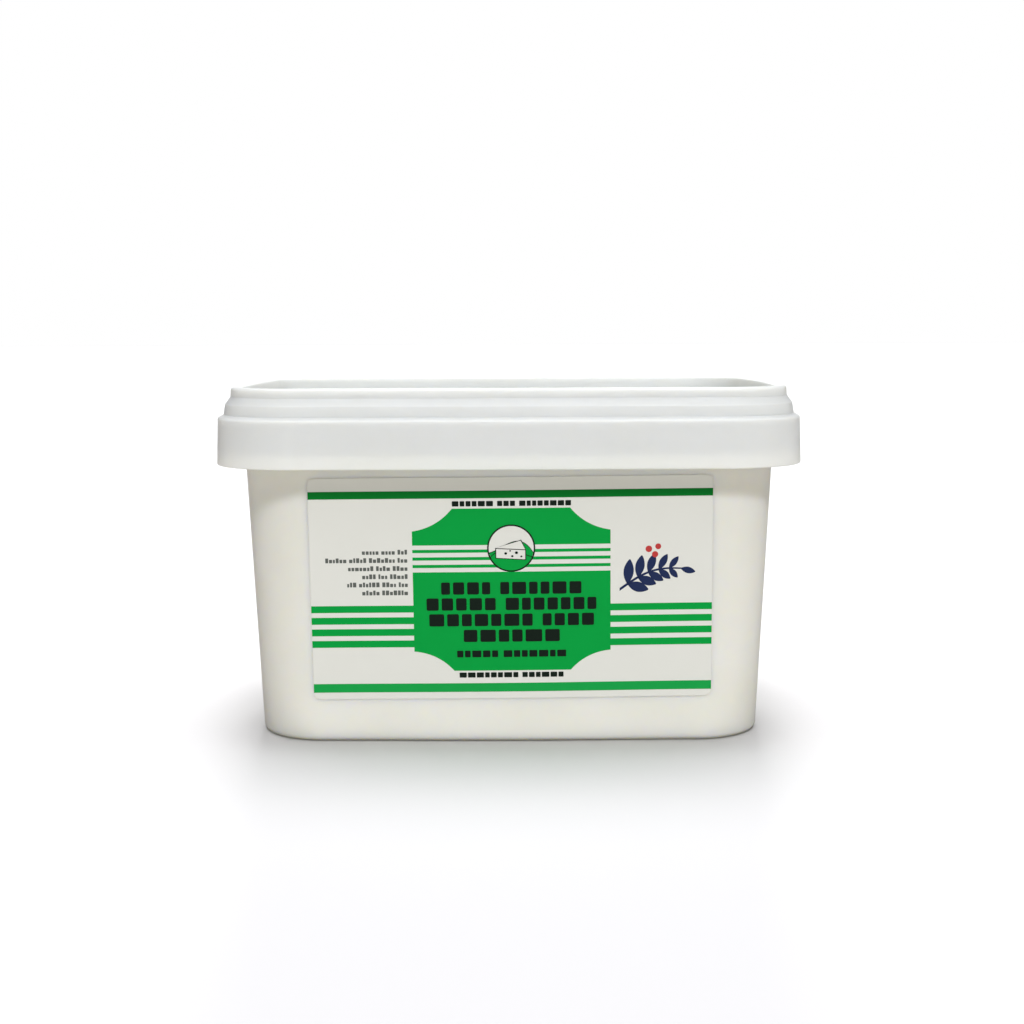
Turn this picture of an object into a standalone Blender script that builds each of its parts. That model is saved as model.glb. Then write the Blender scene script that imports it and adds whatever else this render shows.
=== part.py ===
"""A shut rectangular tub of brined sheep milk cheese, with its press-on lid and the label on its front.

Metres, +Z up. The tub stands on z = 0 with its middle at x = y = 0. Its long side runs along X, and the
label faces -Y. The tub can't be seen into, so it is one solid out to its outer form.
"""

import math

import bmesh
import bpy
import numpy as np

MM = 0.001

# The lid, measured at the bottom of its skirt
LID_LENGTH = 172.0 * MM
LID_WIDTH = 114.0 * MM
LID_CORNER = 25.4 * MM
LID_WALL = 1.2 * MM
SIDE_BOW = 0.84 * MM

# Heights of the lid's steps above the surface that the tub stands on
SKIRT_BOTTOM = 80.8 * MM
SKIRT_TOP = 94.5 * MM
SHOULDER_TOP = 95.4 * MM
STEP_TOP = 98.4 * MM
SLOPE_TOP = 100.6 * MM
RIM_TOP = 103.3 * MM
PANEL_TOP = 97.0 * MM

# How far the lid's steps stand in from the bottom of its skirt
SKIRT_INSET = 0.5 * MM
SHOULDER_INSET = 2.25 * MM
STEP_INSET = 2.75 * MM
SLOPE_INSET = 4.35 * MM
RIM_INSET = 4.5 * MM
RIM_INNER_INSET = 8.0 * MM
PANEL_INSET = 8.8 * MM
PANEL_MARGIN = 5.0 * MM

# Edge radii from the foot of the panel's wall out and down to the top of the skirt
LID_EDGES = (0.9 * MM, 0.7 * MM, 0.8 * MM, 0.4 * MM, 0.5 * MM, 0.4 * MM, 0.7 * MM)

# The tub's wall, whose sizes are taken level with the bottom of the lid's skirt
WALL_INSET = 7.98 * MM
WALL_DRAFT = 2.25
WALL_CORNER = 20.0 * MM
BASE_FILLET = 1.4 * MM
FOOT_WIDTH = 5.0 * MM
BASE_RECESS = 0.8 * MM
FLANGE_BOTTOM = 84.4 * MM
TUB_RIM_TOP = 97.2 * MM
GAP = 0.3 * MM

# The label, as it lies on the front wall
LABEL_WIDTH = 115.8 * MM
LABEL_HEIGHT = 64.9 * MM
LABEL_CORNER = 2.0 * MM
LABEL_CENTRE_X = 0.6 * MM
LABEL_CENTRE_Z = 45.6 * MM
LABEL_TURN = 0.4
LABEL_THICKNESS = 0.2 * MM
LABEL_COLUMNS = 18
LABEL_ROWS = 10

# How finely the outlines are divided
CORNER_STEPS = 10
LONG_STEPS = 8
SHORT_STEPS = 6
EDGE_STEPS = 3
FILLET_STEPS = 4
LABEL_CORNER_STEPS = 4
SHARP_ANGLE = 35.0

LID_COLOUR = (0.76, 0.77, 0.75)
TUB_COLOUR = (0.74, 0.73, 0.64)
LABEL_COLOUR = (0.80, 0.81, 0.79)


def side_bow(u):
    """How far a side stands out, where u runs from -1 to 1 between its two corners."""
    return SIDE_BOW * (1 - min(u * u, 1.0)) ** 2


def plan_ring(half_length, half_width, corner, z):
    """Points at height z round a rectangle with round corners and slightly bowed sides."""
    points = []
    straight_x = half_length - corner
    straight_y = half_width - corner
    for quarter, (sign_x, sign_y) in enumerate(((1, 1), (-1, 1), (-1, -1), (1, -1))):
        for step in range(CORNER_STEPS + 1):
            angle = math.radians(90) * (quarter + step / CORNER_STEPS)
            x = sign_x * straight_x + corner * math.cos(angle)
            y = sign_y * straight_y + corner * math.sin(angle)
            points.append((x, y, z))
        along_x = quarter % 2 == 0
        steps = LONG_STEPS if along_x else SHORT_STEPS
        for step in range(1, steps):
            u = 1 - 2 * step / steps
            if along_x:
                points.append((sign_x * u * straight_x, sign_y * (half_width + side_bow(u)), z))
            else:
                points.append((sign_x * (half_length + side_bow(u)), sign_y * u * straight_y, z))
    return points


def lid_ring(inset, z):
    """The lid's outline, moved in by inset."""
    return plan_ring(LID_LENGTH / 2 - inset, LID_WIDTH / 2 - inset, LID_CORNER - inset, z)


def wall_inset(z):
    """How far the tub's drafted wall stands in from the bottom of the lid's skirt."""
    return WALL_INSET + (SKIRT_BOTTOM - z) * math.tan(math.radians(WALL_DRAFT))


def tub_ring(z, extra=0.0):
    """The tub's outline at height z, moved in by extra."""
    inset = wall_inset(z) + extra
    return plan_ring(LID_LENGTH / 2 - inset, LID_WIDTH / 2 - inset, WALL_CORNER - extra, z)


def offset_section(corners, distance):
    """Moves a section of (inset, z) corners to its inner side by a distance, with mitred corners."""
    points = np.array(corners)
    runs = np.diff(points, axis=0)
    runs /= np.linalg.norm(runs, axis=1)[:, None]
    normals = np.stack([-runs[:, 1], runs[:, 0]], axis=1)
    before = np.vstack([normals[:1], normals])
    after = np.vstack([normals, normals[-1:]])
    mitre = (before + after) / (1 + (before * after).sum(axis=1))[:, None]
    return [tuple(point) for point in points + distance * mitre]


def round_section(corners, radii):
    """Rounds the inner corners of a section of (inset, z) corners with arcs of the given radii."""
    points = [np.array(corner) for corner in corners]
    rounded = [tuple(points[0])]
    for before, corner, after, radius in zip(points, points[1:], points[2:], radii):
        back = (before - corner) / np.linalg.norm(before - corner)
        on = (after - corner) / np.linalg.norm(after - corner)
        half_angle = math.acos(float(back @ on)) / 2
        reach = radius / math.tan(half_angle)
        middle = corner + (back + on) / np.linalg.norm(back + on) * radius / math.sin(half_angle)
        start = corner + back * reach - middle
        end = corner + on * reach - middle
        sweep = math.pi - 2 * half_angle
        for step in range(EDGE_STEPS + 1):
            share = step / EDGE_STEPS
            arm = (math.sin((1 - share) * sweep) * start + math.sin(share * sweep) * end) / math.sin(sweep)
            rounded.append(tuple(middle + arm))
    rounded.append(tuple(points[-1]))
    return rounded


def point_at_height(lower, upper, z):
    """The point at height z on the line through two points of a section."""
    share = (z - lower[1]) / (upper[1] - lower[1])
    return (lower[0] + share * (upper[0] - lower[0]), z)


def loft(name, rings, top_z, bottom_z):
    """Joins rings from the middle of the top, out, down and back in to the middle of the underside."""
    mesh = bmesh.new()
    loops = [[mesh.verts.new(point) for point in ring] for ring in rings]
    count = len(loops[0])
    for upper, lower in zip(loops, loops[1:]):
        for i in range(count):
            j = (i + 1) % count
            mesh.faces.new((upper[i], lower[i], lower[j], upper[j]))
    top = mesh.verts.new((0, 0, top_z))
    bottom = mesh.verts.new((0, 0, bottom_z))
    for i in range(count):
        j = (i + 1) % count
        mesh.faces.new((top, loops[0][i], loops[0][j]))
        mesh.faces.new((bottom, loops[-1][j], loops[-1][i]))
    return finish_object(name, mesh)


def finish_object(name, mesh):
    """Turns a bmesh into a smooth-shaded object of the same name."""
    data = bpy.data.meshes.new(name)
    mesh.to_mesh(data)
    mesh.free()
    data.shade_smooth()
    data.set_sharp_from_angle(angle=math.radians(SHARP_ANGLE))
    piece = bpy.data.objects.new(name, data)
    bpy.context.scene.collection.objects.link(piece)
    return piece


def lid_section():
    """The lid's outer section from the edge of its panel to the bottom of its skirt."""
    return [
        (PANEL_INSET + PANEL_MARGIN, PANEL_TOP),
        (PANEL_INSET, PANEL_TOP),
        (RIM_INNER_INSET, RIM_TOP),
        (RIM_INSET, RIM_TOP),
        (SLOPE_INSET, SLOPE_TOP),
        (STEP_INSET, STEP_TOP),
        (SHOULDER_INSET, SHOULDER_TOP),
        (SKIRT_INSET, SKIRT_TOP),
        (0.0, SKIRT_BOTTOM),
    ]


def make_lid():
    """A thin moulded lid: skirt, shoulder, two steps, a raised rim and a sunk panel."""
    section = lid_section()
    outside = round_section(section, LID_EDGES)
    inside = offset_section(section, LID_WALL)
    inside[-1] = (inside[-1][0], SKIRT_BOTTOM)
    rings = [lid_ring(inset, z) for inset, z in outside + inside[::-1]]
    return loft("lid", rings, PANEL_TOP, PANEL_TOP - LID_WALL)


def make_tub():
    """The filled tub: foot, rounded bottom edge, drafted wall, flange, and a rim up inside the lid."""
    liner = offset_section(lid_section(), LID_WALL + GAP)
    panel_edge, recess_foot, recess_top, _, _, step, shoulder, skirt, skirt_foot = liner
    rings = [
        lid_ring(*panel_edge),
        lid_ring(*recess_foot),
        lid_ring(*point_at_height(recess_foot, recess_top, TUB_RIM_TOP)),
        lid_ring(*point_at_height(shoulder, step, TUB_RIM_TOP)),
        lid_ring(*shoulder),
        lid_ring(*skirt),
        lid_ring(*point_at_height(skirt_foot, skirt, FLANGE_BOTTOM)),
        tub_ring(FLANGE_BOTTOM),
    ]
    for step_number in range(FILLET_STEPS + 1):
        angle = math.radians(90) * step_number / FILLET_STEPS
        rings.append(tub_ring(BASE_FILLET * (1 - math.sin(angle)), BASE_FILLET * (1 - math.cos(angle))))
    foot_inside = BASE_FILLET + FOOT_WIDTH
    rings.append(tub_ring(0.0, foot_inside))
    rings.append([(x, y, BASE_RECESS) for x, y, _ in tub_ring(0.0, foot_inside + BASE_RECESS)])
    return loft("tub", rings, panel_edge[1], BASE_RECESS)


def wall_depth(x, z):
    """How far in front of the middle the tub's front wall stands."""
    inset = wall_inset(z)
    straight_x = LID_LENGTH / 2 - inset - WALL_CORNER
    return LID_WIDTH / 2 - inset + side_bow(x / straight_x)


def label_rows():
    """Heights and half widths of the label's rows, closer together at its round corners."""
    arc = [math.radians(90) * step / LABEL_CORNER_STEPS for step in range(LABEL_CORNER_STEPS + 1)]
    corner = [(LABEL_CORNER * (1 - math.cos(a)), LABEL_CORNER * (1 - math.sin(a))) for a in arc]
    rows = [(LABEL_HEIGHT / 2 - drop, LABEL_WIDTH / 2 - inset) for drop, inset in corner]
    straight = LABEL_HEIGHT / 2 - LABEL_CORNER
    for row in range(1, LABEL_ROWS):
        rows.append((straight * (1 - 2 * row / LABEL_ROWS), LABEL_WIDTH / 2))
    rows += [(drop - LABEL_HEIGHT / 2, LABEL_WIDTH / 2 - inset) for drop, inset in reversed(corner)]
    return rows


def make_label():
    """A thin sticker that follows the front wall's bow and draft."""
    turn = math.radians(LABEL_TURN)
    mesh = bmesh.new()
    layers = []
    for lift in (GAP + LABEL_THICKNESS, GAP):
        grid = []
        for across_z, half_width in label_rows():
            row = []
            for column in range(LABEL_COLUMNS + 1):
                across_x = half_width * (2 * column / LABEL_COLUMNS - 1)
                x = LABEL_CENTRE_X + across_x * math.cos(turn) - across_z * math.sin(turn)
                z = LABEL_CENTRE_Z + across_x * math.sin(turn) + across_z * math.cos(turn)
                row.append(mesh.verts.new((x, -wall_depth(x, z) - lift, z)))
            grid.append(row)
        layers.append(grid)
    front, back = layers
    for upper, lower, upper_back, lower_back in zip(front, front[1:], back, back[1:]):
        for i in range(LABEL_COLUMNS):
            mesh.faces.new((upper[i], lower[i], lower[i + 1], upper[i + 1]))
            mesh.faces.new((upper_back[i + 1], lower_back[i + 1], lower_back[i], upper_back[i]))
        mesh.faces.new((upper[0], upper_back[0], lower_back[0], lower[0]))
        mesh.faces.new((lower[-1], lower_back[-1], upper_back[-1], upper[-1]))
    for i in range(LABEL_COLUMNS):
        mesh.faces.new((front[0][i], front[0][i + 1], back[0][i + 1], back[0][i]))
        mesh.faces.new((front[-1][i + 1], front[-1][i], back[-1][i], back[-1][i + 1]))
    return finish_object("label", mesh)


def add_material(piece, colour, roughness):
    """Gives a piece a plain plastic or paper material of its own."""
    material = bpy.data.materials.new(piece.name + "_material")
    material.use_nodes = True
    shader = material.node_tree.nodes["Principled BSDF"]
    shader.inputs["Base Color"].default_value = (*colour, 1)
    shader.inputs["Roughness"].default_value = roughness
    shader.inputs["Metallic"].default_value = 0.0
    material.diffuse_color = (*colour, 1)
    piece.data.materials.append(material)


def main():
    for piece in list(bpy.data.objects):
        bpy.data.objects.remove(piece)
    add_material(make_tub(), TUB_COLOUR, 0.35)
    add_material(make_lid(), LID_COLOUR, 0.3)
    add_material(make_label(), LABEL_COLOUR, 0.45)


main()
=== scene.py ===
import math

import bpy
import numpy as np
from mathutils import Matrix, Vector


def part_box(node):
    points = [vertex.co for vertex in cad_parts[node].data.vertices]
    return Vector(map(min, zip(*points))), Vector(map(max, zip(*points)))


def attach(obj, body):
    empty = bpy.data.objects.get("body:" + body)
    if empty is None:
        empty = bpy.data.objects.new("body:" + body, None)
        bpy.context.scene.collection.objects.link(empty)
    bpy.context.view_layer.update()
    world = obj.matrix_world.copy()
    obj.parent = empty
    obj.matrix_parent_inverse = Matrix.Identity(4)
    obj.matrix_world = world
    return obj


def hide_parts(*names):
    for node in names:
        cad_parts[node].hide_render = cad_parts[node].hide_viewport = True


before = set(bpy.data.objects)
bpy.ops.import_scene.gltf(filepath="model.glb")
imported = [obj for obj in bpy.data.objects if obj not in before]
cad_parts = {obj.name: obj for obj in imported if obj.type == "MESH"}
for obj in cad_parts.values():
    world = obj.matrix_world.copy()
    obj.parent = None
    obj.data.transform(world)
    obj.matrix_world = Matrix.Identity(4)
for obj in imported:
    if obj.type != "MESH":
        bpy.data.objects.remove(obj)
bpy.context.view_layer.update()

# A shut tub of brined sheep milk cheese: moulded lid, filled tub, and a printed label on the front wall.
# Lengths are in metres. The label faces -Y.

MM = 0.001

# The lid's main sizes come from the frame; its section repeats the one the solid was made from
LID_LOW, LID_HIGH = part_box("lid")
SIDE_BOW = 0.84 * MM
HALF_LENGTH = LID_HIGH[0] - SIDE_BOW
HALF_WIDTH = LID_HIGH[1] - SIDE_BOW
SKIRT_BOTTOM = LID_LOW[2]
RIM_TOP = LID_HIGH[2]
LID_CORNER = 25.4 * MM
LID_WALL = 1.2 * MM
PANEL_TOP = 97.0 * MM
PANEL_EDGE_INSET = 13.8 * MM
LID_CORNERS = (
    (8.8 * MM, PANEL_TOP),
    (8.0 * MM, RIM_TOP),
    (4.5 * MM, RIM_TOP),
    (4.35 * MM, 100.6 * MM),
    (2.75 * MM, 98.4 * MM),
    (2.25 * MM, 95.4 * MM),
    (0.5 * MM, 94.5 * MM),
)
LID_SECTION = ((PANEL_EDGE_INSET, PANEL_TOP),) + LID_CORNERS + ((0.0, SKIRT_BOTTOM),)
LID_EDGES = (0.9 * MM, 0.7 * MM, 0.8 * MM, 0.35 * MM, 0.45 * MM, 0.4 * MM, 0.7 * MM)
SKIRT_EDGE = 0.35 * MM
UNDER_EDGE = 0.3 * MM
PANEL_DISH = 0.3 * MM

# The tub
WALL_INSET = 7.98 * MM
WALL_DRAFT = math.radians(2.25)
WALL_CORNER = 20.0 * MM
BASE_FILLET = 1.4 * MM
FOOT_WIDTH = 5.0 * MM
BASE_RECESS = 0.8 * MM
FLANGE_BOTTOM = 84.4 * MM
FLANGE_LAP = 1.2 * MM
FLANGE_EDGE = 0.15 * MM
TUB_RIM_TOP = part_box("tub")[1][2]
GAP = 0.3 * MM

# The moulding gate's mark: a round dimple with a nub in its middle
DIMPLE_RADIUS = 3.2 * MM
DIMPLE_SLOPE = 1.0 * MM
DIMPLE_DEPTH = 0.35 * MM
NUB_RADIUS = 0.9 * MM
NUB_SLOPE = 0.4 * MM
NUB_HEIGHT = 0.3 * MM

# The label's middle comes from the frame
LABEL_LOW, LABEL_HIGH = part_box("label")
LABEL_X = (LABEL_LOW[0] + LABEL_HIGH[0]) / 2
LABEL_Z = (LABEL_LOW[2] + LABEL_HIGH[2]) / 2
LABEL_TURN = math.radians(0.4)
LABEL_WIDTH = 115.8 * MM
LABEL_HEIGHT = 64.9 * MM
LABEL_CORNER = 2.0 * MM
PAPER_BACK = 0.01 * MM
PAPER_FRONT = 0.16 * MM
INK_FILM = 0.02 * MM
FILM_DEPTH = 1.5 * INK_FILM

# How fine the surfaces are
CORNER_STEPS = 20
LONG_STEPS = 28
SHORT_STEPS = 16
EDGE_STEPS = 6
HIDDEN_EDGE_STEPS = 3
FLANGE_EDGE_STEPS = 2
FILLET_STEPS = 12
PAPER_ROWS = 14
BLOCK_CORNER_STEPS = 5
SCALLOP_STEPS = 14
BADGE_STEPS = 36
HILL_STEPS = 30
STEM_STEPS = 24

# Rings of the level faces, as shares of the way out from the middle: they are close over the gate marks
PANEL_RINGS = np.concatenate([np.linspace(0.004, 0.08, 16), np.linspace(0.11, 0.97, 12)])
PANEL_UNDER_RINGS = (0.6, 0.2)
TUB_TOP_RINGS = (0.3, 0.7)
BASE_RINGS = np.concatenate([np.linspace(0.97, 0.11, 8), np.linspace(0.08, 0.004, 14)])

# Heights of the rings down the tub's wall, then how far in the base's rings stand from it, and their heights
FLANGE_HEIGHTS = FLANGE_BOTTOM - np.array([0.0, 0.4]) * MM
WALL_HEIGHTS = np.linspace(0.98, 0.05, 18) * SKIRT_BOTTOM
FOOT_INSETS = np.array([BASE_FILLET + 0.3 * MM, BASE_FILLET + FOOT_WIDTH - 0.4 * MM])
RECESS_STEPS = np.array([0.0, 0.5, 1.0])
BASE_HEIGHTS = np.array([0.0, 0.0, 0.1, 0.8, 1.0]) * BASE_RECESS

# How far past an arc its guard point stands, as a share of the radius, and the least drop between two rows
GUARD = 0.25
ROW_LIMIT = 1e-7

# How far an ellipse starts off its poles in degrees, and a leaf off its ends as a share of its length
POLE_ANGLE = 5
LEAF_END = 0.02


# Section and plan


def rounded_section(corners, radii, steps):
    """Rounds a section of (inset, z) corners. On each arc the arm from its middle turns evenly from the
    end of one straight run to the start of the next. Each run also gets points close to its ends, which
    keep the smooth shading inside the arcs."""
    points = np.array(corners)
    rows = [points[:1]]
    for before, corner, after, radius in zip(points, points[1:], points[2:], radii):
        back = (before - corner) / np.linalg.norm(before - corner)
        on = (after - corner) / np.linalg.norm(after - corner)
        half_angle = math.acos(float(back @ on)) / 2
        reach = radius / math.tan(half_angle)
        middle = corner + (back + on) / np.linalg.norm(back + on) * radius / math.sin(half_angle)
        sweep = math.pi - 2 * half_angle
        share = np.linspace(0, 1, steps + 1)[:, None]
        arm_back = corner + back * reach - middle
        arm_on = corner + on * reach - middle
        swing = np.sin((1 - share) * sweep) * arm_back + np.sin(share * sweep) * arm_on
        away = reach + GUARD * radius
        rows += [[corner + back * away], middle + swing / math.sin(sweep), [corner + on * away]]
    rows.append(points[-1:])
    return np.concatenate(rows)


def offset_section(section, distance):
    """Moves a section to its inner side: each corner goes along the mitre of the runs beside it."""
    points = np.array(section)
    runs = np.diff(points, axis=0)
    runs /= np.linalg.norm(runs, axis=1)[:, None]
    normals = np.stack([-runs[:, 1], runs[:, 0]], axis=1)
    before = np.vstack([normals[:1], normals])
    after = np.vstack([normals, normals[-1:]])
    return points + distance * (before + after) / (1 + (before * after).sum(axis=1))[:, None]


def plan_columns(corner_steps, long_steps, short_steps):
    """One turn round the plan. A point of an outline is k (half size - corner) + n (corner + bow swell),
    where k places it along the sides, n points outwards, and swell is (1 - u^2)^2 on a side."""
    k, n, swell = [], [], []
    for quarter in range(4):
        start = quarter * math.pi / 2
        angles = start + np.linspace(0, math.pi / 2, corner_steps + 1)
        sign = np.array([math.cos(start) - math.sin(start), math.sin(start) + math.cos(start)]).round()
        k.append(np.tile(sign, (corner_steps + 1, 1)))
        n.append(np.stack([np.cos(angles), np.sin(angles)], axis=1))
        swell.append(np.zeros(corner_steps + 1))
        steps = long_steps if quarter % 2 == 0 else short_steps
        u = np.linspace(1, -1, steps + 1)[1:-1, None]
        out = n[-1][-1].round()
        along = np.array([-out[1], out[0]])
        k.append(out - u * along)
        n.append(np.tile(out, (steps - 1, 1)))
        swell.append((1 - u[:, 0] ** 2) ** 2)
    return np.concatenate(k), np.concatenate(n), np.concatenate(swell)


PLAN = plan_columns(CORNER_STEPS, LONG_STEPS, SHORT_STEPS)


def outline_rows(inset, corner, z):
    """A grid of points: one outline of the plan for each inset, corner radius and height."""
    k, n, swell = PLAN
    inset, corner, z = (np.broadcast_to(value, np.shape(inset)).astype(float) for value in (inset, corner, z))
    half = np.stack([HALF_LENGTH - inset, HALF_WIDTH - inset], axis=1)[:, None, :]
    radius = corner[:, None, None]
    flat = k * (half - radius) + n * (radius + SIDE_BOW * swell[None, :, None])
    heights = np.broadcast_to(z[:, None, None], flat.shape[:2] + (1,))
    return np.concatenate([flat, heights], axis=2)


def shrunk_rows(ring, shares, heights):
    """Copies of a ring drawn in towards its middle, at their own heights."""
    rows = ring[None] * np.array(shares)[:, None, None]
    rows[:, :, 2] = heights
    return rows


def wall_inset(z):
    """How far the tub's drafted wall stands in from the bottom of the lid's skirt."""
    return WALL_INSET + (SKIRT_BOTTOM - z) * math.tan(WALL_DRAFT)


# Mesh building


def add_piece(name, points, quads, triangles=()):
    """One object at the origin from an array of points and arrays of faces."""
    mesh = bpy.data.meshes.new(name)
    faces = [tuple(face) for face in np.asarray(quads).tolist()]
    faces += [tuple(face) for face in np.asarray(triangles).tolist()]
    mesh.from_pydata(points.tolist(), [], faces)
    mesh.validate()
    piece = bpy.data.objects.new(name, mesh)
    bpy.context.scene.collection.objects.link(piece)
    return piece


def closed_shell(name, rows, top, bottom):
    """A solid from rings that run from the middle of the top, out, down, and back in underneath."""
    count, around = rows.shape[:2]
    points = np.concatenate([rows.reshape(-1, 3), [top, bottom]])
    index = np.arange(count * around).reshape(count, around)
    beside = np.roll(index, -1, axis=1)
    quads = np.stack([index[:-1], index[1:], beside[1:], beside[:-1]], axis=2).reshape(-1, 4)
    middle = np.full(around, count * around)
    fan_top = np.stack([middle, index[0], beside[0]], axis=1)
    fan_bottom = np.stack([middle + 1, beside[-1], index[-1]], axis=1)
    piece = add_piece(name, points, quads, np.concatenate([fan_top, fan_bottom]))
    piece.data.shade_smooth()
    return piece


def slab(front, back):
    """Points and outward faces of a thin slab between two like grids, whose columns run to the right."""
    rows, columns = front.shape[:2]
    points = np.concatenate([front.reshape(-1, 3), back.reshape(-1, 3)])
    near = np.arange(rows * columns).reshape(rows, columns)
    far = near + rows * columns
    facing = np.stack([near[:-1, :-1], near[1:, :-1], near[1:, 1:], near[:-1, 1:]], axis=2)
    behind = np.stack([far[:-1, :-1], far[:-1, 1:], far[1:, 1:], far[1:, :-1]], axis=2)
    rim_near = np.concatenate([near[0, :-1], near[:-1, -1], near[-1, :0:-1], near[:0:-1, 0]])
    rim_far = rim_near + rows * columns
    rim = np.stack([rim_near, np.roll(rim_near, -1), np.roll(rim_far, -1), rim_far], axis=1)
    return points, np.concatenate([facing.reshape(-1, 4), behind.reshape(-1, 4), rim])


def on_wall(s, t, lift):
    """Points on the label's face, s to the right and t up from its middle, lifted off the front wall.
    The wall stands at half width - inset(z) + bow (1 - (x / straight)^2)^2 in front of the middle."""
    x = LABEL_X + s * math.cos(LABEL_TURN) - t * math.sin(LABEL_TURN)
    z = LABEL_Z + s * math.sin(LABEL_TURN) + t * math.cos(LABEL_TURN)
    straight = HALF_LENGTH - wall_inset(z) - WALL_CORNER
    swell = (1 - np.minimum((x / straight) ** 2, 1)) ** 2
    y = -(HALF_WIDTH - wall_inset(z) + SIDE_BOW * swell + lift)
    return np.stack([x, y, z], axis=-1)


class Plate:
    """Collects the flat shapes that one ink prints, and turns them into one piece."""

    def __init__(self, name, layer):
        self.name = name
        self.front = PAPER_FRONT + layer * INK_FILM
        self.points = []
        self.faces = []
        self.count = 0

    def add(self, s, t):
        """Prints one grid of s and t, whose rows run down and whose columns run to the right."""
        points, faces = slab(on_wall(s, t, self.front), on_wall(s, t, self.front - FILM_DEPTH))
        self.points.append(points)
        self.faces.append(faces + self.count)
        self.count += len(points)

    def piece(self):
        """The finished film of ink."""
        return add_piece(self.name, np.concatenate(self.points), np.concatenate(self.faces))


# Flat shapes for the print, each a grid of s and t


def span_grid(t, left, right, pitch=4 * MM):
    """A shape given row by row: at each height t it runs from left to right."""
    columns = 1 + max(1, math.ceil(float(np.max(right - left)) / pitch))
    share = np.linspace(0, 1, columns)[None]
    s = left[:, None] + (right - left)[:, None] * share
    return s, np.broadcast_to(t[:, None], s.shape)


def bar_grid(left, right, low, high, corner=0.0):
    """A bar with round corners: its ends draw in by corner (1 - sin a) over the drop corner (1 - cos a)."""
    if corner == 0.0:
        drop = np.zeros(1)
        draw = np.zeros(1)
    else:
        angle = np.radians(np.linspace(0, 90, BLOCK_CORNER_STEPS + 1))
        drop = corner * (1 - np.cos(angle))
        draw = corner * (1 - np.sin(angle))
    t = np.concatenate([high - drop, (low + drop)[::-1]])
    draw = np.concatenate([draw, draw[::-1]])
    keep = np.concatenate([[True], np.diff(t) < -ROW_LIMIT])
    return span_grid(t[keep], left + draw[keep], right - draw[keep])


def disc_grid(s, t, radius_s, radius_t, steps=24):
    """An ellipse in rows: at the angle a its half width is radius sin a. It starts just off its poles."""
    angle = np.radians(np.linspace(POLE_ANGLE, 180 - POLE_ANGLE, steps + 1))
    height = t + radius_t * np.cos(angle)
    half = radius_s * np.sin(angle)
    return span_grid(height, s - half, s + half, pitch=radius_s / 4)


def quad_grid(top_left, top_right, bottom_left, bottom_right):
    """A four-cornered field."""
    corners = np.array([[top_left, top_right], [bottom_left, bottom_right]])
    return corners[:, :, 0], corners[:, :, 1]


def leaf_grid(s, t, length, width, turn, steps=12):
    """A leaf that starts at (s, t) and points along turn: its half width is width / 2 sin(pi v)^0.8."""
    v = np.linspace(LEAF_END, 1 - LEAF_END, steps + 1)[:, None]
    across = np.array([[-1.0, 1.0]]) * width / 2 * np.sin(math.pi * v) ** 0.8
    along = (1 - v) * length + 0 * across
    c, q = math.cos(turn), math.sin(turn)
    return s + along * c + across * q, t + along * q - across * c


# The pieces


def make_lid():
    """The moulded lid as a thin shell, with a gate mark in the middle of its panel."""
    under = offset_section(LID_SECTION, LID_WALL)
    under[-1, 1] = SKIRT_BOTTOM
    loop = list(LID_SECTION) + [tuple(under[-1])]
    outside = rounded_section(loop, LID_EDGES + (SKIRT_EDGE,), EDGE_STEPS)[:-1]
    loop = [outside[-1]] + [tuple(point) for point in under[::-1]]
    inside = rounded_section(loop, [UNDER_EDGE] * len(under), HIDDEN_EDGE_STEPS)[1:]
    section = np.concatenate([outside, inside])
    rows = outline_rows(section[:, 0], LID_CORNER - section[:, 0], section[:, 1])
    panel = shrunk_rows(rows[0], PANEL_RINGS, 0.0)
    radius = np.hypot(panel[:, :, 0], panel[:, :, 1])
    panel[:, :, 2] = PANEL_TOP + gate_mark(radius) - PANEL_DISH * (1 - PANEL_RINGS[:, None] ** 2) ** 2
    underside = shrunk_rows(rows[-1], PANEL_UNDER_RINGS, PANEL_TOP - LID_WALL)
    rows = np.concatenate([panel, rows, underside])
    centre = PANEL_TOP + float(gate_mark(0.0)) - PANEL_DISH
    return closed_shell("lid_shell", rows, (0, 0, centre), (0, 0, PANEL_TOP - LID_WALL))


def smooth_edge(radius, outer, slope):
    """1 inside a round mark and 0 outside it, with the smooth step v^2 (3 - 2 v) between."""
    v = np.clip((outer - radius) / slope, 0, 1)
    return v * v * (3 - 2 * v)


def gate_mark(radius):
    """Height of the moulding gate's mark: a round dimple with a small nub in its middle."""
    dimple = DIMPLE_DEPTH * smooth_edge(radius, DIMPLE_RADIUS, DIMPLE_SLOPE)
    return NUB_HEIGHT * smooth_edge(radius, NUB_RADIUS, NUB_SLOPE) - dimple


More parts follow.
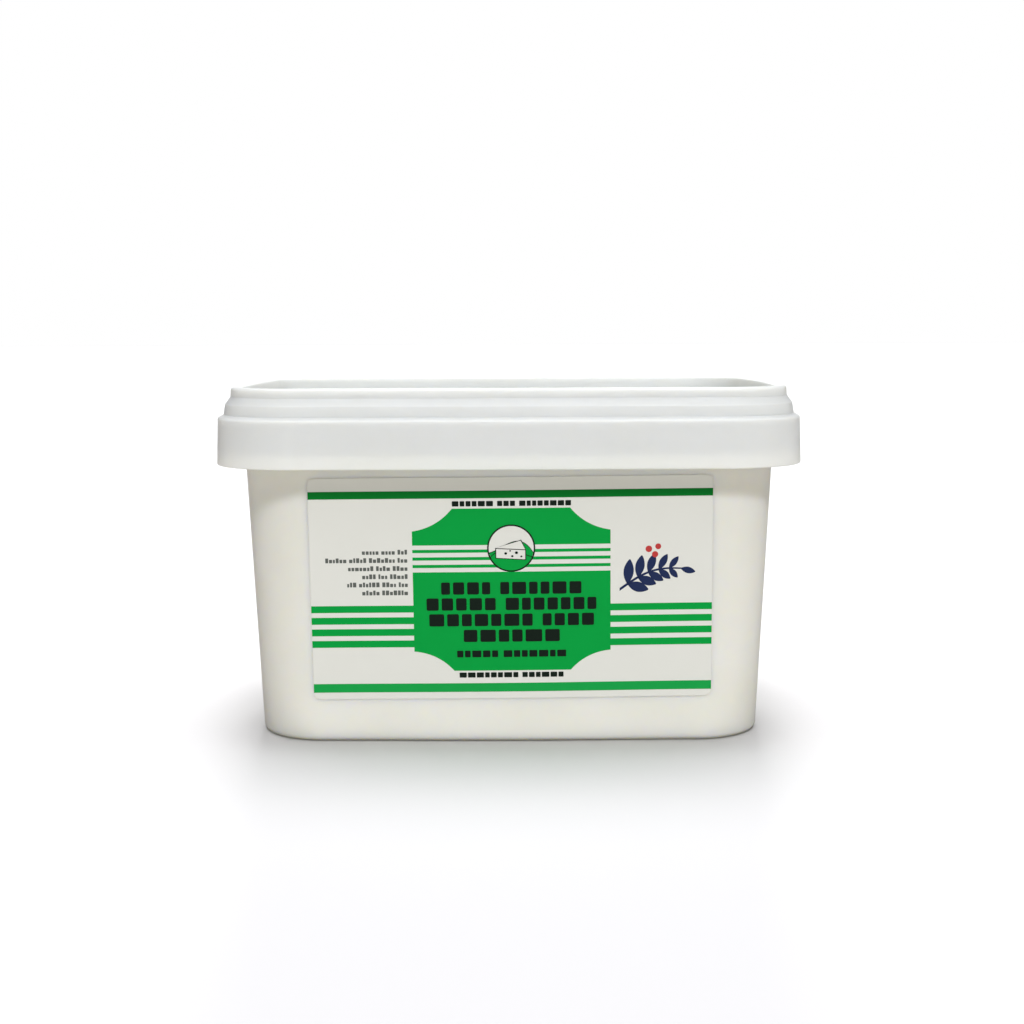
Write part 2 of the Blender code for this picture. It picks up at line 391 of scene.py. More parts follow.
def make_tub():
    """The filled tub: base recess, foot, rounded bottom edge, drafted wall, flange and rim."""
    liner = offset_section(LID_SECTION, LID_WALL + GAP)
    hidden = [
        liner[0],
        liner[1],
        at_height(liner[1], liner[2], TUB_RIM_TOP),
        at_height(liner[6], liner[5], TUB_RIM_TOP),
        liner[6],
        liner[7],
        at_height(liner[8], liner[7], FLANGE_BOTTOM),
        np.array([wall_inset(FLANGE_BOTTOM) - FLANGE_LAP, FLANGE_BOTTOM]),
    ]
    hidden = rounded_section(hidden, [FLANGE_EDGE] * (len(hidden) - 2), FLANGE_EDGE_STEPS)
    upper = outline_rows(hidden[:, 0], LID_CORNER - hidden[:, 0], hidden[:, 1])
    heights = np.concatenate([FLANGE_HEIGHTS, WALL_HEIGHTS])
    wall = outline_rows(wall_inset(heights), WALL_CORNER, heights)
    angle = np.radians(np.linspace(0, 90, FILLET_STEPS + 1))
    z = BASE_FILLET * (1 - np.sin(angle))
    extra = BASE_FILLET * (1 - np.cos(angle))
    fillet = outline_rows(wall_inset(z) + extra, WALL_CORNER - extra, z)
    extra = np.concatenate([FOOT_INSETS, BASE_FILLET + FOOT_WIDTH + RECESS_STEPS * BASE_RECESS])
    base = outline_rows(wall_inset(0) + extra, WALL_CORNER - extra, BASE_HEIGHTS)
    middle = shrunk_rows(base[-1], BASE_RINGS, 0.0)
    middle[:, :, 2] = BASE_RECESS - gate_mark(np.hypot(middle[:, :, 0], middle[:, :, 1]))
    top = shrunk_rows(upper[0], TUB_TOP_RINGS, liner[0][1])
    rows = np.concatenate([top, upper, wall, fillet, base, middle])
    nub = BASE_RECESS - float(gate_mark(0.0))
    return closed_shell("tub_shell", rows, (0, 0, liner[0][1]), (0, 0, nub))


def at_height(lower, upper, z):
    """The point at height z on the line through two points of a section."""
    return lower + (upper - lower) * (z - lower[1]) / (upper[1] - lower[1])


def make_paper():
    """The label's paper: a thin sheet with round corners on the bowed, drafted wall."""
    half_s = LABEL_WIDTH / 2
    half_t = LABEL_HEIGHT / 2
    s, t = bar_grid(-half_s, half_s, -half_t, half_t, LABEL_CORNER)
    inner = np.linspace(half_t - LABEL_CORNER, LABEL_CORNER - half_t, PAPER_ROWS)[1:-1]
    where = s.shape[0] // 2
    s = np.concatenate([s[:where], np.repeat(s[where:where + 1], len(inner), axis=0), s[where:]])
    t = np.concatenate([t[:where], np.broadcast_to(inner[:, None], (len(inner), t.shape[1])), t[where:]])
    points, faces = slab(on_wall(s, t, PAPER_FRONT), on_wall(s, t, PAPER_BACK))
    return add_piece("label_paper", points, faces)


# The print, in the label's own s and t

FIELD_MIDDLE = 0.15 * MM
FIELD_HALF = 28.45 * MM
FIELD_TOP = 23.5 * MM
FIELD_BOTTOM = -24.15 * MM
SCALLOP_REACH = 11.55 * MM
SCALLOP_TOP = 6.5 * MM
SCALLOP_BOTTOM = 5.8 * MM
SCALLOP_SAG = 1.3 * MM
TOP_BAR = (26.45 * MM, 28.65 * MM)
BOTTOM_BAR = (-30.5 * MM, -27.9 * MM)
SIDE_BARS = 4
SIDE_BAR_TOP = -4.7 * MM
SIDE_BAR_PITCH = 3.44 * MM
SIDE_BAR_HEIGHT = 2.03 * MM
STRIPES = 4
STRIPE_MIDDLE = 12.25 * MM
STRIPE_PITCH = 2.19 * MM
STRIPE_HEIGHT = 1.27 * MM
BADGE_S = 0.1 * MM
BADGE_T = 11.9 * MM
BADGE_RADIUS = 6.9 * MM
BADGE_LINE = 0.45 * MM
HILL_LINE = 0.22 * MM
BACK_HILL = (-1.2 * MM, 3.0 * MM, 0.75)
FRONT_HILL = (-2.4 * MM, 2.0 * MM, -0.6)
HILL_REACH = 0.999
WEDGE_TIP = (-4.3, 0.15)
WEDGE_NEAR = (4.0, -0.35)
WEDGE_FAR = (2.7, 2.2)
WEDGE_BLUNT = 0.06
WEDGE_RIND = (0.3, 0.25)
WEDGE_DROP = 2.9
WEDGE_LINE = 0.26 * MM
HOLE_SQUASH = 0.85
HOLES = ((-1.6, -1.5, 0.42), (0.3, -2.3, 0.34), (1.5, -1.3, 0.46), (2.9, -2.4, 0.3), (-0.3, -0.75, 0.26))

# Rows of blocks: how many blocks each word has, then the row's place and size in millimetres
BIG_BLOCK = 3.6 * MM
BIG_ROW_TOP = 0.25 * MM
BIG_ROW_PITCH = 4.68 * MM
BIG_ROWS = (((4, 6), 20.2), ((5, 7), 24.5), ((7, 4), 23.8), ((6,), 13.9))
LINE_ROWS = (
    ((5, 7), -15.9, 15.7, -19.15, 2.0),
    ((6, 3, 8), -16.7, 17.3, 24.9, 1.5),
    ((8, 6), -15.3, 14.9, -25.45, 1.5),
)
SMALL_BLOCK = 1.0 * MM
SMALL_ROW_RIGHT = -29.8 * MM
SMALL_ROW_TOP = 10.8 * MM
SMALL_ROW_PITCH = 2.38 * MM
SMALL_UNEVEN = 0.4
SMALL_ROWS = (
    ((5, 4, 3), 13.0), ((6, 5, 7, 3), 23.6), ((7, 4, 4), 17.1),
    ((4, 3, 5), 13.1), ((3, 6, 4, 3), 17.5), ((5, 7), 13.2),
)
BLOCK_GAP = 0.24
WORD_GAP = 0.8
BLOCK_CORNER = 0.12
NARROW_BLOCK = 0.72
WIDE_BLOCK = 1.28

# The sprig and its berries
SPRIG_START = (31.2 * MM, -0.6 * MM)
SPRIG_END = (49.2 * MM, 5.4 * MM)
SPRIG_RISE = 2.2 * MM
STEM_ROOT = 0.45 * MM
STEM_THINNING = 0.25 * MM
LEAF_PAIRS = 5
FIRST_LEAF = 3
LEAF_PITCH = 4
LEAF_SIZE = 7.4 * MM
LEAF_SHRINKING = 0.75 * MM
LEAF_WIDTH = 0.4
LEAF_TURN = math.radians(50)
LEAF_SIDES = ((1, 1.0), (-1, 0.86))
TIP_LEAF = (4.4 * MM, 1.9 * MM, math.radians(-14))
TIP_LAP = 0.4 * MM
BERRIES = ((39.6, 11.2, 0.95), (42.3, 11.9, 0.85), (41.4, 9.6, 0.9))


def scallop(height):
    """Points down one scalloped corner: a straight cut whose middle sags inwards as a parabola."""
    share = np.linspace(0, 1, SCALLOP_STEPS + 1)
    length = math.hypot(SCALLOP_REACH, height)
    sag = SCALLOP_SAG * 4 * share * (1 - share)
    draw = SCALLOP_REACH * (1 - share) + sag * height / length
    drop = height * share + sag * SCALLOP_REACH / length
    return draw, drop


def field_grid():
    """The green field: a rectangle with four hollow corners."""
    draw_top, drop_top = scallop(SCALLOP_TOP)
    draw_low, drop_low = scallop(SCALLOP_BOTTOM)
    t = np.concatenate([FIELD_TOP - drop_top, (FIELD_BOTTOM + drop_low)[::-1]])
    draw = np.concatenate([draw_top, draw_low[::-1]])
    return span_grid(t, FIELD_MIDDLE - FIELD_HALF + draw, FIELD_MIDDLE + FIELD_HALF - draw, pitch=3 * MM)


def make_green_print():
    """Four bars on each side, and the field."""
    plate = Plate("label_green", layer=1)
    half = LABEL_WIDTH / 2
    for number in range(SIDE_BARS):
        high = SIDE_BAR_TOP - number * SIDE_BAR_PITCH
        plate.add(*bar_grid(-half, FIELD_MIDDLE - FIELD_HALF, high - SIDE_BAR_HEIGHT, high))
        plate.add(*bar_grid(FIELD_MIDDLE + FIELD_HALF, half, high - SIDE_BAR_HEIGHT, high))
    plate.add(*field_grid())
    return plate.piece()


def make_edge_bar(name, low, high):
    """A bar from edge to edge. The top one's deeper green is painted shade, standing in for the shade that
    the lid's skirt throws on it; the low one is a lighter green ink.
    """
    plate = Plate(name, layer=1)
    plate.add(*bar_grid(-LABEL_WIDTH / 2, LABEL_WIDTH / 2, low, high))
    return plate.piece()


def make_white_print():
    """White stripes across the field."""
    plate = Plate("label_stripes", layer=2)
    for number in range(STRIPES):
        middle = STRIPE_MIDDLE - number * STRIPE_PITCH
        left = FIELD_MIDDLE - FIELD_HALF
        right = FIELD_MIDDLE + FIELD_HALF
        plate.add(*bar_grid(left, right, middle - STRIPE_HEIGHT / 2, middle + STRIPE_HEIGHT / 2))
    return plate.piece()


def add_word_blocks(plate, left, right, middle, height, words, rng, uneven=0.0):
    """A line of plain blocks in place of words: words gives how many blocks each has. The blocks' widths
    vary, and where uneven is set, some of them stand taller from the same foot."""
    gap = BLOCK_GAP * height
    word_gap = WORD_GAP * height
    count = sum(words)
    widths = rng.uniform(NARROW_BLOCK, WIDE_BLOCK, count)
    widths *= (right - left - gap * (count - len(words)) - word_gap * (len(words) - 1)) / widths.sum()
    tops = height * (1 + uneven * rng.integers(0, 2, count))
    ends = np.cumsum(words)
    start = left
    foot = middle - height / 2
    for number, (width, top) in enumerate(zip(widths, tops)):
        plate.add(*bar_grid(start, start + width, foot, foot + top, BLOCK_CORNER * height))
        start += width + (word_gap if number + 1 in ends else gap)


def make_dark_print():
    """Rows of plain blocks on the field, above it and below it."""
    plate = Plate("label_dark", layer=3)
    rng = np.random.default_rng(11)
    for number, (words, half) in enumerate(BIG_ROWS):
        middle = BIG_ROW_TOP - number * BIG_ROW_PITCH
        add_word_blocks(plate, -half * MM, half * MM, middle, BIG_BLOCK, words, rng)
    for words, left, right, middle, height in LINE_ROWS:
        add_word_blocks(plate, left * MM, right * MM, middle * MM, height * MM, words, rng)
    return plate.piece()


def make_small_print():
    """Six short rows of small grey blocks at the left, which all end level at their right."""
    plate = Plate("label_small_print", layer=1)
    rng = np.random.default_rng(23)
    for number, (words, length) in enumerate(SMALL_ROWS):
        middle = SMALL_ROW_TOP - SMALL_ROW_PITCH * number
        left = SMALL_ROW_RIGHT - length * MM
        add_word_blocks(plate, left, SMALL_ROW_RIGHT, middle, SMALL_BLOCK, words, rng, SMALL_UNEVEN)
    return plate.piece()


def make_badge():
    """A round badge: dark ring, white ground, two hills, and a wedge of cheese in front of them."""
    ring = Plate("badge_ring", layer=3)
    ring.add(*disc_grid(BADGE_S, BADGE_T, BADGE_RADIUS, BADGE_RADIUS, BADGE_STEPS))
    ground = Plate("badge_ground", layer=4)
    inner = BADGE_RADIUS - BADGE_LINE
    ground.add(*disc_grid(BADGE_S, BADGE_T, inner, inner, BADGE_STEPS))
    hill_lines = Plate("badge_hill_lines", layer=5)
    hills = Plate("badge_hills", layer=6)
    add_hill(hill_lines, hills, inner, *BACK_HILL)
    front_lines = Plate("badge_front_line", layer=7)
    front = Plate("badge_front_hill", layer=8)
    add_hill(front_lines, front, inner, *FRONT_HILL)
    lines = Plate("badge_wedge_lines", layer=9)
    faces = Plate("badge_wedge", layer=10)
    for corners in wedge_faces():
        corners = np.array(corners) * MM + np.array([BADGE_S, BADGE_T])
        away = corners - corners.mean(axis=0)
        away /= np.abs(away).max(axis=0)
        lines.add(*quad_grid(*(corners + away * WEDGE_LINE)))
        faces.add(*quad_grid(*corners))
    holes = Plate("badge_holes", layer=11)
    for s, t, size in HOLES:
        place = (BADGE_S + s * MM, BADGE_T + t * MM)
        holes.add(*disc_grid(*place, size * MM, size * MM * HOLE_SQUASH, steps=10))
    plates = (ring, ground, hill_lines, hills, front_lines, front, lines, faces, holes)
    return [plate.piece() for plate in plates]


def add_hill(line, fill, radius, foot, rise, lean):
    """A hill twice: its dark line, and the green that starts a line's width below it."""
    line.add(*hill_grid(radius, foot, rise, lean))
    fill.add(*hill_grid(radius, foot - HILL_LINE, rise, lean))


def hill_grid(radius, foot, rise, lean):
    """The lower part of the badge under a hill: its crest is foot + rise (1 - u^2) (1 + lean u), and its
    underside is the badge's rim."""
    half = math.sqrt(radius ** 2 - foot ** 2)
    u = np.linspace(-HILL_REACH, HILL_REACH, HILL_STEPS + 1)[None]
    crest = foot + rise * (1 - u * u) * (1 + lean * u)
    rim = -np.sqrt(radius ** 2 - (half * u) ** 2)
    share = np.array([[0.0], [1.0]])
    t = crest + (rim - crest) * share
    return BADGE_S + np.broadcast_to(half * u, t.shape), BADGE_T + t


def wedge_faces():
    """The two faces that show of a wedge of cheese, as corners in mm: its top, then its cut side."""
    tip = np.array(WEDGE_TIP)
    near = np.array(WEDGE_NEAR)
    down = np.array([0.0, -1.0])
    top = (tip, WEDGE_FAR, tip + WEDGE_BLUNT * down, near)
    rind = (tip + WEDGE_RIND[0] * down, near + WEDGE_RIND[1] * down)
    side = (*rind, tip + WEDGE_DROP * down, near + WEDGE_DROP * down)
    return top, side


def make_sprig():
    """A navy sprig: pairs of leaves that get smaller along a stem which rises and bends over."""
    plate = Plate("label_sprig", layer=1)
    v = np.linspace(0, 1, STEM_STEPS + 1)
    stem_s = SPRIG_START[0] + (SPRIG_END[0] - SPRIG_START[0]) * v
    stem_t = SPRIG_START[1] + (SPRIG_END[1] - SPRIG_START[1]) * v + SPRIG_RISE * np.sin(math.pi * v)
    half = STEM_ROOT - STEM_THINNING * v
    plate.add(np.stack([stem_s, stem_s], 0), np.stack([stem_t + half, stem_t - half], 0))
    for number in range(LEAF_PAIRS):
        at = FIRST_LEAF + LEAF_PITCH * number
        slope = math.atan2(stem_t[at + 1] - stem_t[at - 1], stem_s[at + 1] - stem_s[at - 1])
        size = LEAF_SIZE - LEAF_SHRINKING * number
        for side, share in LEAF_SIDES:
            turn = slope + side * LEAF_TURN
            plate.add(*leaf_grid(stem_s[at], stem_t[at], size * share, LEAF_WIDTH * size, turn))
    plate.add(*leaf_grid(stem_s[-1] - TIP_LAP, stem_t[-1], *TIP_LEAF))
    return plate.piece()


def make_berries():
    """Three small red berries by the sprig."""
    plate = Plate("label_berries", layer=2)
    for s, t, size in BERRIES:
        plate.add(*disc_grid(s * MM, t * MM, size * MM, size * MM, steps=16))
    return plate.piece()


# Materials


def add_group(name, inputs, outputs):
    """An empty shader group with its named inputs, (name, kind, value), and outputs, (name, kind)."""
    group = bpy.data.node_groups.new(name, "ShaderNodeTree")
    for socket, kind, value in inputs:
        item = group.interface.new_socket(socket, in_out="INPUT", socket_type=kind)
        item.default_value = value
    for socket, kind in outputs:
        group.interface.new_socket(socket, in_out="OUTPUT", socket_type=kind)
    return group


def add_node(tree, kind, **settings):
    """Adds a node. A setting whose name is a property of the node sets it, and others set sockets."""
    node = tree.nodes.new(kind)
    for key, value in settings.items():
        if hasattr(node, key):
            setattr(node, key, value)
        else:
            node.inputs[key.replace("_", " ")].default_value = value
    return node


def moulded_plastic_group():
    """Moulded plastic: cloudy flow marks in the colour, a fine matt grain, and slow waves in the surface."""
    floats = "NodeSocketFloat"
    group = add_group(
        "moulded plastic",
        (
            ("Colour", "NodeSocketColor", (0.8, 0.8, 0.8, 1)),
            ("Cloud Colour", "NodeSocketColor", (0.8, 0.8, 0.8, 1)),
            ("Roughness", floats, 0.3),
            ("Wave Depth", floats, 0.1),
            ("Grain Depth", floats, 0.01),
        ),
        (("Colour", "NodeSocketColor"), ("Roughness", floats), ("Normal", "NodeSocketVector")),
    )
    link = group.links.new
    inside = add_node(group, "NodeGroupInput")
    outside = add_node(group, "NodeGroupOutput")
    place = add_node(group, "ShaderNodeTexCoord")
    cloud = add_node(group, "ShaderNodeTexNoise", Scale=32.0, Detail=3.0, Roughness=0.55)
    fine = add_node(group, "ShaderNodeTexNoise", Scale=2600.0, Detail=2.0, Roughness=0.6)
    wave = add_node(group, "ShaderNodeTexNoise", Scale=70.0, Detail=2.0, Roughness=0.45)
    for node in (cloud, fine, wave):
        link(place.outputs["Object"], node.inputs["Vector"])
    ramp = add_node(group, "ShaderNodeMapRange", interpolation_type="SMOOTHSTEP")
    ramp.inputs["From Min"].default_value = 0.35
    ramp.inputs["From Max"].default_value = 0.68
    link(cloud.outputs["Fac"], ramp.inputs["Value"])
    mix = add_node(group, "ShaderNodeMix", data_type="RGBA")
    link(ramp.outputs["Result"], mix.inputs["Factor"])
    link(inside.outputs["Colour"], mix.inputs["A"])
    link(inside.outputs["Cloud Colour"], mix.inputs["B"])
    link(mix.outputs["Result"], outside.inputs["Colour"])
    shift = add_node(group, "ShaderNodeMapRange")
    shift.inputs["To Min"].default_value = -0.05
    shift.inputs["To Max"].default_value = 0.05
    link(fine.outputs["Fac"], shift.inputs["Value"])
    rough = add_node(group, "ShaderNodeMath", operation="ADD")
    link(inside.outputs["Roughness"], rough.inputs[0])
    link(shift.outputs["Result"], rough.inputs[1])
    link(rough.outputs["Value"], outside.inputs["Roughness"])
    waves = add_node(group, "ShaderNodeBump", Distance=MM)
    link(inside.outputs["Wave Depth"], waves.inputs["Strength"])
    link(wave.outputs["Fac"], waves.inputs["Height"])
    grain = add_node(group, "ShaderNodeBump", Distance=0.05 * MM)
    link(inside.outputs["Grain Depth"], grain.inputs["Strength"])
    link(fine.outputs["Fac"], grain.inputs["Height"])
    link(waves.outputs["Normal"], grain.inputs["Normal"])
    link(grain.outputs["Normal"], outside.inputs["Normal"])
    return group


def printed_paper_group():
    """Printed paper: short fibres across the sheet, a slight mottle in the ink, and a satin varnish."""
    floats = "NodeSocketFloat"
    group = add_group(
        "printed paper",
        (
            ("Colour", "NodeSocketColor", (0.8, 0.8, 0.8, 1)),
            ("Mottle Colour", "NodeSocketColor", (0.8, 0.8, 0.8, 1)),
            ("Roughness", floats, 0.4),
            ("Fibre Depth", floats, 0.1),
        ),
        (("Colour", "NodeSocketColor"), ("Roughness", floats), ("Normal", "NodeSocketVector")),
    )
    link = group.links.new
    inside = add_node(group, "NodeGroupInput")
    outside = add_node(group, "NodeGroupOutput")
    place = add_node(group, "ShaderNodeTexCoord")
    stretch = add_node(group, "ShaderNodeMapping")
    stretch.inputs["Scale"].default_value = (0.45, 1.0, 1.0)
    link(place.outputs["Object"], stretch.inputs["Vector"])
    fibre = add_node(group, "ShaderNodeTexNoise", Scale=1900.0, Detail=3.0, Roughness=0.65)
    link(stretch.outputs["Vector"], fibre.inputs["Vector"])
    mottle = add_node(group, "ShaderNodeTexNoise", Scale=90.0, Detail=4.0, Roughness=0.6)
    link(place.outputs["Object"], mottle.inputs["Vector"])
    mix = add_node(group, "ShaderNodeMix", data_type="RGBA")
    link(mottle.outputs["Fac"], mix.inputs["Factor"])
    link(inside.outputs["Colour"], mix.inputs["A"])
    link(inside.outputs["Mottle Colour"], mix.inputs["B"])
    link(mix.outputs["Result"], outside.inputs["Colour"])
    shift = add_node(group, "ShaderNodeMapRange")
    shift.inputs["To Min"].default_value = -0.07
    shift.inputs["To Max"].default_value = 0.07
    link(fibre.outputs["Fac"], shift.inputs["Value"])
    rough = add_node(group, "ShaderNodeMath", operation="ADD")
    link(inside.outputs["Roughness"], rough.inputs[0])
    link(shift.outputs["Result"], rough.inputs[1])
    link(rough.outputs["Value"], outside.inputs["Roughness"])
    bump = add_node(group, "ShaderNodeBump", Distance=0.03 * MM)
    link(inside.outputs["Fibre Depth"], bump.inputs["Strength"])
    link(fibre.outputs["Fac"], bump.inputs["Height"])
    link(bump.outputs["Normal"], outside.inputs["Normal"])
    return group


def linear(red, green, blue):
    """A colour from 0 to 255 as the linear values that the shader takes."""
    value = np.array([red, green, blue]) / 255
    value = np.where(value <= 0.04045, value / 12.92, ((value + 0.055) / 1.055) ** 2.4)
    return (*value.tolist(), 1.0)


def add_material(name, group, values, **shader_values):
    """A Principled material whose colour, roughness and normal come from a shared group."""
    material = bpy.data.materials.new(name)
    material.use_nodes = True
    tree = material.node_tree
    shader = tree.nodes["Principled BSDF"]
    effect = add_node(tree, "ShaderNodeGroup", node_tree=group)
    for socket, value in values.items():
        effect.inputs[socket].default_value = value
    tree.links.new(effect.outputs["Colour"], shader.inputs["Base Color"])
    tree.links.new(effect.outputs["Roughness"], shader.inputs["Roughness"])
    tree.links.new(effect.outputs["Normal"], shader.inputs["Normal"])
    for socket, value in shader_values.items():
        shader.inputs[socket.replace("_", " ")].default_value = value
    return material


def make_materials():
    """The finishes of the lid, the tub and the label's paper and inks."""
    plastic = moulded_plastic_group()
    paper = printed_paper_group()

    def ink(name, colour, mottle, roughness, specular):
        values = {"Colour": colour, "Mottle Colour": mottle, "Roughness": roughness, "Fibre Depth": 0.35}
        return add_material(name, paper, values, IOR=1.48, Specular_IOR_Level=specular)

    lid = {"Colour": linear(234, 235, 229), "Cloud Colour": linear(232, 233, 226), "Roughness": 0.36}
    lid.update({"Wave Depth": 0.05, "Grain Depth": 0.12})
    tub = {"Colour": linear(230, 229, 222), "Cloud Colour": linear(227, 226, 217), "Roughness": 0.36}
    tub.update({"Wave Depth": 0.08, "Grain Depth": 0.16})
    finishes = {
        "lid": add_material(
            "lid plastic", plastic, lid, IOR=1.49, Specular_IOR_Level=0.25,
            Subsurface_Weight=0.9, Subsurface_Radius=(1.0, 0.95, 0.85), Subsurface_Scale=4.0 * MM,
        ),
        "tub": add_material(
            "tub plastic", plastic, tub, IOR=1.49,
            Subsurface_Weight=0.8, Subsurface_Radius=(1.0, 0.85, 0.5), Subsurface_Scale=6.0 * MM,
        ),
        "paper": ink("label paper", linear(221, 221, 215), linear(218, 218, 211), 0.42, 0.35),
        "green": ink("green ink", linear(0, 157, 63), linear(0, 150, 60), 0.4, 0.06),
        # Painted shade: the top bar's darker green stands in for the shade that the lid's skirt throws on it
        "painted shade green": ink("painted shade green ink", linear(0, 118, 40), linear(0, 112, 37), 0.4, 0.05),
        "light green": ink("light green ink", linear(24, 159, 72), linear(18, 152, 68), 0.4, 0.06),
        "dark": ink("dark ink", linear(10, 24, 16), linear(14, 28, 20), 0.42, 0.08),
        "grey": ink("grey ink", linear(88, 92, 88), linear(94, 98, 93), 0.42, 0.1),
        "navy": ink("navy ink", linear(24, 38, 80), linear(28, 42, 78), 0.42, 0.12),
        "red": ink("red ink", linear(186, 62, 60), linear(180, 56, 56), 0.42, 0.12),
    }
    return finishes


def finish_piece(piece, material):
    """Gives a piece its material and the one rigid body."""
    piece.data.materials.append(material)
    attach(piece, "root")


def build_object(finishes):
    """Every piece of the tub, its lid and its label."""
    tub = make_tub()
    finish_piece(tub, finishes["tub"])
    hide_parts("tub")
    lid = make_lid()
    finish_piece(lid, finishes["lid"])
    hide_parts("lid")
    paper = make_paper()
    finish_piece(paper, finishes["paper"])
    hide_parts("label")
    # The top bar takes the green with painted shade from the lid's skirt
    finish_piece(make_edge_bar("label_top_bar", *TOP_BAR), finishes["painted shade green"])
    finish_piece(make_edge_bar("label_low_bar", *BOTTOM_BAR), finishes["light green"])
    finish_piece(make_green_print(), finishes["green"])
    finish_piece(make_white_print(), finishes["paper"])
    finish_piece(make_dark_print(), finishes["dark"])
    finish_piece(make_small_print(), finishes["grey"])
    finish_piece(make_sprig(), finishes["navy"])
    finish_piece(make_berries(), finishes["red"])
    badge_inks = ("dark", "paper", "dark", "green", "dark", "green", "dark", "paper", "dark")
    for piece, finish in zip(make_badge(), badge_inks):
        finish_piece(piece, finishes[finish])


# Stage, light and camera

CAMERA_DISTANCE = 466.2 * MM
CAMERA_ASIDE = 0.83 * MM
CAMERA_HEIGHT = 119.04 * MM
CAMERA_PITCH = 0.1219
CAMERA_ROLL = 0.0039
CAMERA_TURN = 0.0013
FOCAL_PIXELS = 1471.0
PHOTO_PIXELS = 1024
SENSOR = 36.0
FLOOR_SIZE = 12.0
FLOOR_WHITE = (0.94, 0.94, 0.94, 1)
FLOOR_BOUNCE = (0.42, 0.4, 0.37, 1)
AMBIENT = 0.125
PLAIN = (1.0, 1.0, 1.0)
COOL = (0.98, 1.0, 1.04)
WARM = (1.01, 1.0, 0.94)
LILAC = (1.0, 0.99, 1.02)

# A lamp is its name, azimuth, elevation and spread in degrees, strength and colour. Azimuth 0 shines from
# the front, and 90 from the right. A card is its name, middle in y, width, depth and glow.
OBJECT_LAMPS = (
    ("key", 15, 44, 9, 1.59, COOL),
    ("overhead", 0, 60, 40, 0.48, COOL),
    ("top", 0, 90, 60, 1.02, PLAIN),
    ("behind", 180, 35, 24, 1.85, PLAIN),
    ("low front", 0, 8, 16, 0.24, PLAIN),
    ("from below", 0, -25, 50, 0.42, WARM),
    ("left side", -105, 8, 40, 0.2, PLAIN),
    ("right side", 105, 8, 40, 0.17, PLAIN),
)
FLOOR_LAMPS = (
    ("floor top", 0, 90, 60, 0.83, LILAC),
    ("floor overhead", 0, 90, 12, 0.29, LILAC),
    ("floor behind", 180, 75, 50, 1.79, LILAC),
    ("floor low", 180, 10, 20, 3.16, PLAIN),
)
CARDS = (
    ("near card", -55 * MM, 160 * MM, 14 * MM, 0.2),
    ("wide card", -350 * MM, 1000 * MM, 600 * MM, 0.22),
)


def add_camera():
    """The photograph's camera, found from the outline of the lid and the tub."""
    data = bpy.data.cameras.new("camera")
    data.sensor_width = SENSOR
    data.lens = FOCAL_PIXELS / PHOTO_PIXELS * SENSOR
    data.clip_start = 0.01
    data.clip_end = 50.0
    camera = bpy.data.objects.new("camera", data)
    bpy.context.scene.collection.objects.link(camera)
    aside = CAMERA_ASIDE + CAMERA_DISTANCE * math.sin(CAMERA_TURN)
    place = Matrix.Translation((aside, -CAMERA_DISTANCE, CAMERA_HEIGHT))
    turn = Matrix.Rotation(CAMERA_TURN, 4, "Z") @ Matrix.Rotation(math.pi / 2 - CAMERA_PITCH, 4, "X")
    camera.matrix_world = place @ turn @ Matrix.Rotation(-CAMERA_ROLL, 4, "Z")
    bpy.context.scene.camera = camera


def add_floor():
    """A plain white floor out to the horizon. What it throws back onto the object is dimmer than it looks."""
    corners = np.array([(-1, -1, 0), (1, -1, 0), (1, 1, 0), (-1, 1, 0)]) * FLOOR_SIZE
    floor = add_piece("floor", corners, [(0, 1, 2, 3)])
    material = bpy.data.materials.new("floor")
    material.use_nodes = True
    tree = material.node_tree
    shader = tree.nodes["Principled BSDF"]
    light_path = add_node(tree, "ShaderNodeLightPath")
    mix = add_node(tree, "ShaderNodeMix", data_type="RGBA")
    tree.links.new(light_path.outputs["Is Camera Ray"], mix.inputs["Factor"])
    mix.inputs["A"].default_value = FLOOR_BOUNCE
    mix.inputs["B"].default_value = FLOOR_WHITE
    tree.links.new(mix.outputs["Result"], shader.inputs["Base Color"])
    shader.inputs["Roughness"].default_value = 0.9
    shader.inputs["Specular IOR Level"].default_value = 0.1
    floor.data.materials.append(material)
    return floor


def add_soft_sun(name, azimuth, elevation, spread, strength, colour):
    """A broad distant lamp, so that the floor is as bright far off as it is close by."""
    data = bpy.data.lights.new(name, "SUN")
    data.angle = math.radians(spread)
    data.energy = strength
    data.color = colour
    lamp = bpy.data.objects.new(name, data)
    bpy.context.scene.collection.objects.link(lamp)
    turn = Matrix.Rotation(math.radians(azimuth), 4, "Z")
    lamp.matrix_world = turn @ Matrix.Rotation(math.radians(90 - elevation), 4, "X")
    return lamp


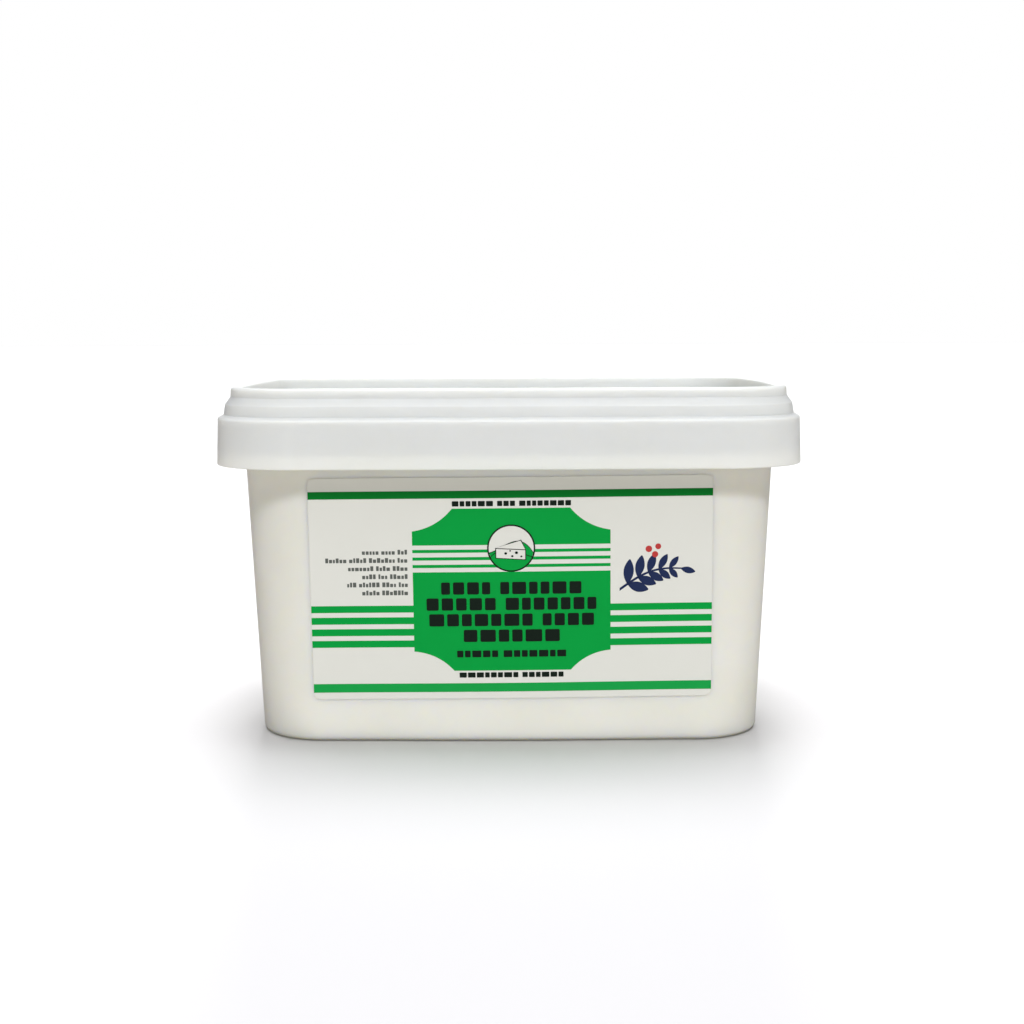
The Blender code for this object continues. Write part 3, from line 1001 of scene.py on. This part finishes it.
def add_card(name, middle, width, depth, glow):
    """The glow of the white floor in front of the tub, as a card that lies there and faces up."""
    data = bpy.data.lights.new(name, "AREA")
    data.shape = "RECTANGLE"
    data.size = width
    data.size_y = depth
    data.energy = glow * width * depth * math.pi
    data.color = WARM
    lamp = bpy.data.objects.new(name, data)
    bpy.context.scene.collection.objects.link(lamp)
    lamp.matrix_world = Matrix.Translation((0, middle, 1 * MM)) @ Matrix.Rotation(math.pi, 4, "X")
    lamp.visible_camera = False
    return lamp


def light_group(lamp, floor, wanted):
    """A collection of the floor alone, which a lamp includes or excludes."""
    group = bpy.data.collections.new("floor for " + lamp.name)
    group.objects.link(floor)
    group.collection_objects[0].light_linking.link_state = wanted
    return group


def add_lamps(floor):
    """The object's lamps, which pass the floor by, and the floor's lamps, which light nothing else."""
    lamps = [add_soft_sun(*settings) for settings in OBJECT_LAMPS]
    lamps += [add_card(*settings) for settings in CARDS]
    for lamp in lamps:
        group = light_group(lamp, floor, "EXCLUDE")
        lamp.light_linking.receiver_collection = group
        lamp.light_linking.blocker_collection = group
    for settings in FLOOR_LAMPS:
        lamp = add_soft_sun(*settings)
        lamp.light_linking.receiver_collection = light_group(lamp, floor, "INCLUDE")


def add_world():
    """A little light from all round, and plain white where the camera sees past the floor."""
    world = bpy.data.worlds.new("studio")
    world.use_nodes = True
    tree = world.node_tree
    background = tree.nodes["Background"]
    light_path = add_node(tree, "ShaderNodeLightPath")
    strength = add_node(tree, "ShaderNodeMix", data_type="FLOAT")
    tree.links.new(light_path.outputs["Is Camera Ray"], strength.inputs["Factor"])
    strength.inputs["A"].default_value = AMBIENT
    strength.inputs["B"].default_value = 1.0
    background.inputs["Color"].default_value = (1, 1, 1, 1)
    tree.links.new(strength.outputs["Result"], background.inputs["Strength"])
    bpy.context.scene.world = world


def set_view():
    """Plain colours, as the photograph has them."""
    settings = bpy.context.scene.view_settings
    settings.view_transform = "Standard"
    settings.look = "None"
    settings.exposure = 0.0
    settings.gamma = 1.0


set_view()
add_camera()
add_world()
add_lamps(add_floor())
build_object(make_materials())
